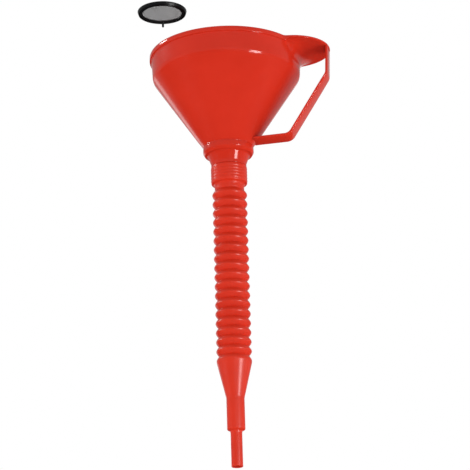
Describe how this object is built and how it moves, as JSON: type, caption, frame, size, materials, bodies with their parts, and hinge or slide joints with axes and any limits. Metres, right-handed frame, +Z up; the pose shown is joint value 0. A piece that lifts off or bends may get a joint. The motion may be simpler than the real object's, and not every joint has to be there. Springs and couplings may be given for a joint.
{
  "type": "funnel",
  "caption": "Wide-mouthed plastic filling funnel with a strap handle, a pouring ear, a corrugated spout that bends, and a lift-out mesh strainer.",
  "frame": {"origin": "centre of the mouth, in the plane of the rim's top edge", "axes": "+Z up out of the mouth along the bowl's axis, +X towards the handle and the pouring ear, the spout hangs along -Z"},
  "size_m": [0.2011, 0.16, 0.4946],
  "materials": {
    "bowl": "smooth moulded polyethylene, glossy",
    "spout": "blow-moulded polyethylene, satin gloss",
    "strainer_frame": "black moulded plastic, satin",
    "strainer_mesh": "plain woven wire, dull grey"
  },
  "bodies": {
    "bowl": {"funnel_bowl": "bowl", "handle_strap": "bowl"},
    "spout_cuff": {"spout_cuff": "spout"},
    "hose_ring_01": {"hose_ring_01": "spout"},
    "hose_ring_02": {"hose_ring_02": "spout"},
    "hose_ring_03": {"hose_ring_03": "spout"},
    "hose_ring_04": {"hose_ring_04": "spout"},
    "hose_ring_05": {"hose_ring_05": "spout"},
    "hose_ring_06": {"hose_ring_06": "spout"},
    "hose_ring_07": {"hose_ring_07": "spout"},
    "hose_ring_08": {"hose_ring_08": "spout"},
    "hose_ring_09": {"hose_ring_09": "spout"},
    "hose_ring_10": {"hose_ring_10": "spout"},
    "hose_ring_11": {"hose_ring_11": "spout"},
    "hose_ring_12": {"hose_ring_12": "spout"},
    "hose_ring_13": {"hose_ring_13": "spout"},
    "hose_ring_14": {"hose_ring_14": "spout"},
    "hose_ring_15": {"hose_ring_15": "spout"},
    "hose_ring_16": {"hose_ring_16": "spout"},
    "hose_ring_17": {"hose_ring_17": "spout"},
    "hose_ring_18": {"hose_ring_18": "spout"},
    "nozzle": {"nozzle": "spout"},
    "strainer": {"strainer_frame": "strainer_frame", "strainer_mesh": "strainer_mesh"}
  },
  "joints": [
    {"name": "spout_turn", "type": "hinge", "parent": "bowl", "child": "spout_cuff", "pos_m": [0, 0, -0.133], "axis": [0, 0, 1], "continuous": true},
    {"name": "hose_bend", "type": "hinge", "parent": "spout_cuff", "child": "hose_ring_01", "pos_m": [0, 0, -0.1504], "axis": [0, 1, 0], "range_deg": [-4.74, 4.74]},
    {"name": "hose_bend_02", "type": "hinge", "parent": "hose_ring_01", "child": "hose_ring_02", "pos_m": [0, 0, -0.16021], "axis": [0, 1, 0], "range_deg": [-4.74, 4.74]},
    {"name": "hose_bend_03", "type": "hinge", "parent": "hose_ring_02", "child": "hose_ring_03", "pos_m": [0, 0, -0.17002], "axis": [0, 1, 0], "range_deg": [-4.74, 4.74]},
    {"name": "hose_bend_04", "type": "hinge", "parent": "hose_ring_03", "child": "hose_ring_04", "pos_m": [0, 0, -0.17983], "axis": [0, 1, 0], "range_deg": [-4.74, 4.74]},
    {"name": "hose_bend_05", "type": "hinge", "parent": "hose_ring_04", "child": "hose_ring_05", "pos_m": [0, 0, -0.18964], "axis": [0, 1, 0], "range_deg": [-4.74, 4.74]},
    {"name": "hose_bend_06", "type": "hinge", "parent": "hose_ring_05", "child": "hose_ring_06", "pos_m": [0, 0, -0.19945], "axis": [0, 1, 0], "range_deg": [-4.74, 4.74]},
    {"name": "hose_bend_07", "type": "hinge", "parent": "hose_ring_06", "child": "hose_ring_07", "pos_m": [0, 0, -0.20926], "axis": [0, 1, 0], "range_deg": [-4.74, 4.74]},
    {"name": "hose_bend_08", "type": "hinge", "parent": "hose_ring_07", "child": "hose_ring_08", "pos_m": [0, 0, -0.21907], "axis": [0, 1, 0], "range_deg": [-4.74, 4.74]},
    {"name": "hose_bend_09", "type": "hinge", "parent": "hose_ring_08", "child": "hose_ring_09", "pos_m": [0, 0, -0.22888], "axis": [0, 1, 0], "range_deg": [-4.74, 4.74]},
    {"name": "hose_bend_10", "type": "hinge", "parent": "hose_ring_09", "child": "hose_ring_10", "pos_m": [0, 0, -0.23869], "axis": [0, 1, 0], "range_deg": [-4.74, 4.74]},
    {"name": "hose_bend_11", "type": "hinge", "parent": "hose_ring_10", "child": "hose_ring_11", "pos_m": [0, 0, -0.2485], "axis": [0, 1, 0], "range_deg": [-4.74, 4.74]},
    {"name": "hose_bend_12", "type": "hinge", "parent": "hose_ring_11", "child": "hose_ring_12", "pos_m": [0, 0, -0.25831], "axis": [0, 1, 0], "range_deg": [-4.74, 4.74]},
    {"name": "hose_bend_13", "type": "hinge", "parent": "hose_ring_12", "child": "hose_ring_13", "pos_m": [0, 0, -0.26812], "axis": [0, 1, 0], "range_deg": [-4.74, 4.74]},
    {"name": "hose_bend_14", "type": "hinge", "parent": "hose_ring_13", "child": "hose_ring_14", "pos_m": [0, 0, -0.27793], "axis": [0, 1, 0], "range_deg": [-4.74, 4.74]},
    {"name": "hose_bend_15", "type": "hinge", "parent": "hose_ring_14", "child": "hose_ring_15", "pos_m": [0, 0, -0.28774], "axis": [0, 1, 0], "range_deg": [-4.74, 4.74]},
    {"name": "hose_bend_16", "type": "hinge", "parent": "hose_ring_15", "child": "hose_ring_16", "pos_m": [0, 0, -0.29755], "axis": [0, 1, 0], "range_deg": [-4.74, 4.74]},
    {"name": "hose_bend_17", "type": "hinge", "parent": "hose_ring_16", "child": "hose_ring_17", "pos_m": [0, 0, -0.30736], "axis": [0, 1, 0], "range_deg": [-4.74, 4.74]},
    {"name": "hose_bend_18", "type": "hinge", "parent": "hose_ring_17", "child": "hose_ring_18", "pos_m": [0, 0, -0.31717], "axis": [0, 1, 0], "range_deg": [-4.74, 4.74]},
    {"name": "hose_bend_19", "type": "hinge", "parent": "hose_ring_18", "child": "nozzle", "pos_m": [0, 0, -0.32698], "axis": [0, 1, 0], "range_deg": [-4.74, 4.74]},
    {"name": "strainer_lift", "type": "slide", "parent": "bowl", "child": "strainer", "axis": [-0.3946, -0.0655, 0.9165], "range_m": [-0.16497, 0]}
  ],
  "couplings": [
    {"joint": "hose_bend_02", "follows": "hose_bend", "ratio": 1},
    {"joint": "hose_bend_03", "follows": "hose_bend", "ratio": 1},
    {"joint": "hose_bend_04", "follows": "hose_bend", "ratio": 1},
    {"joint": "hose_bend_05", "follows": "hose_bend", "ratio": 1},
    {"joint": "hose_bend_06", "follows": "hose_bend", "ratio": 1},
    {"joint": "hose_bend_07", "follows": "hose_bend", "ratio": 1},
    {"joint": "hose_bend_08", "follows": "hose_bend", "ratio": 1},
    {"joint": "hose_bend_09", "follows": "hose_bend", "ratio": 1},
    {"joint": "hose_bend_10", "follows": "hose_bend", "ratio": 1},
    {"joint": "hose_bend_11", "follows": "hose_bend", "ratio": 1},
    {"joint": "hose_bend_12", "follows": "hose_bend", "ratio": 1},
    {"joint": "hose_bend_13", "follows": "hose_bend", "ratio": 1},
    {"joint": "hose_bend_14", "follows": "hose_bend", "ratio": 1},
    {"joint": "hose_bend_15", "follows": "hose_bend", "ratio": 1},
    {"joint": "hose_bend_16", "follows": "hose_bend", "ratio": 1},
    {"joint": "hose_bend_17", "follows": "hose_bend", "ratio": 1},
    {"joint": "hose_bend_18", "follows": "hose_bend", "ratio": 1},
    {"joint": "hose_bend_19", "follows": "hose_bend", "ratio": 1}
  ]
}
